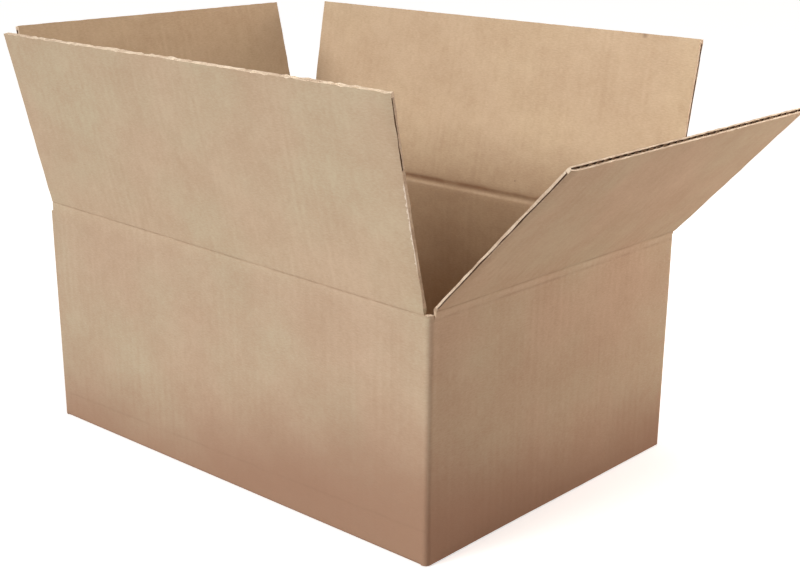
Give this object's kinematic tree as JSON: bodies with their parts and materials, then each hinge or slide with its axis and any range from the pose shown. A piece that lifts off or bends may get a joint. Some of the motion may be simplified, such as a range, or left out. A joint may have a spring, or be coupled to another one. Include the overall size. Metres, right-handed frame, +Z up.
{
  "type": "shipping box",
  "caption": "Open corrugated cardboard shipping box in plain brown kraft, with its long and short top flaps folded up and outward.",
  "frame": {"origin": "centre of the underside, on the strip of tape under the bottom seam", "axes": "+X along the long walls towards the short wall that is at the right of the picture, +Y along the short walls away from the long wall at the front, +Z up"},
  "size_m": [0.5314, 0.3412, 0.3169],
  "materials": {
    "board": "matt",
    "tape": "glossy"
  },
  "bodies": {
    "box": {"carton": "board", "bottom_tape": "tape"},
    "front_flap": {"front_flap": "board"},
    "back_flap": {"back_flap": "board"},
    "right_flap": {"right_flap": "board"},
    "left_flap": {"left_flap": "board"}
  },
  "joints": [
    {"name": "front_fold", "type": "hinge", "parent": "box", "child": "front_flap", "pos_m": [0, -0.14105, 0.1781], "axis": [1, 0, 0], "range_deg": [-103, 137]},
    {"name": "back_fold", "type": "hinge", "parent": "box", "child": "back_flap", "pos_m": [0, 0.14105, 0.1781], "axis": [-1, 0, 0], "range_deg": [-100.5, 139.5]},
    {"name": "right_fold", "type": "hinge", "parent": "box", "child": "right_flap", "pos_m": [0.19905, 0, 0.1739], "axis": [0, 1, 0], "range_deg": [-132.5, 107.5]},
    {"name": "left_fold", "type": "hinge", "parent": "box", "child": "left_flap", "pos_m": [-0.19905, 0, 0.1739], "axis": [0, -1, 0], "range_deg": [-103.5, 136.5]}
  ]
}
